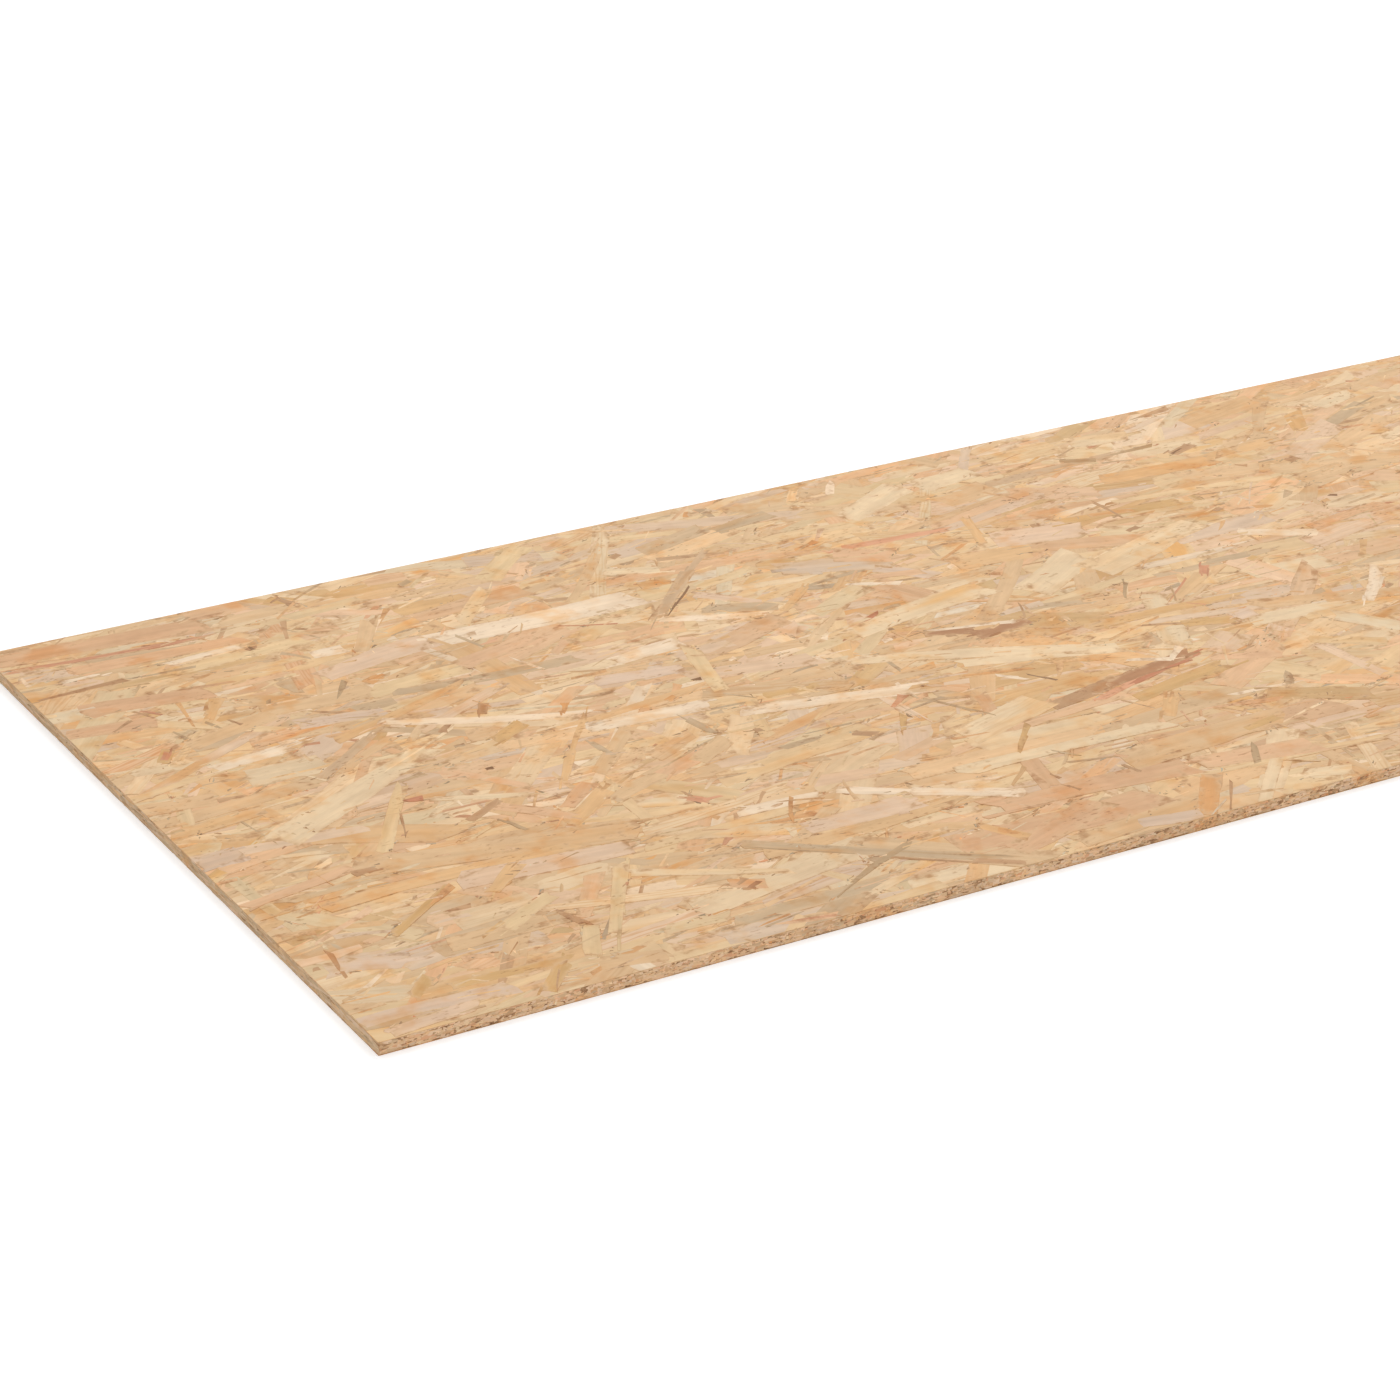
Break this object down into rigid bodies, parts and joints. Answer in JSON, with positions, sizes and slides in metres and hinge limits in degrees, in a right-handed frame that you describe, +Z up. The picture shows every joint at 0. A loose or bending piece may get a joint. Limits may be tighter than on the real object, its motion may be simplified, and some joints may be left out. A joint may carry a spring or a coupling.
{
  "type": "oriented strand board",
  "caption": "Flat rectangular sheet of pressed and resin-bonded wood strands, sawn square, for sheathing, flooring, shelving and packing.",
  "frame": {"origin": "middle of the underside, so the board rests on the plane Z = 0", "axes": "+X along the length and the main strand direction, +Y along the width, +Z up through the thickness"},
  "size_m": [1.22, 0.61, 0.009],
  "materials": {
    "strand_wood": "unsanded pressed strand surface, matt with a slight resin sheen, sawn edges"
  },
  "bodies": {
    "root": {"osb_board": "strand_wood"}
  },
  "joints": []
}
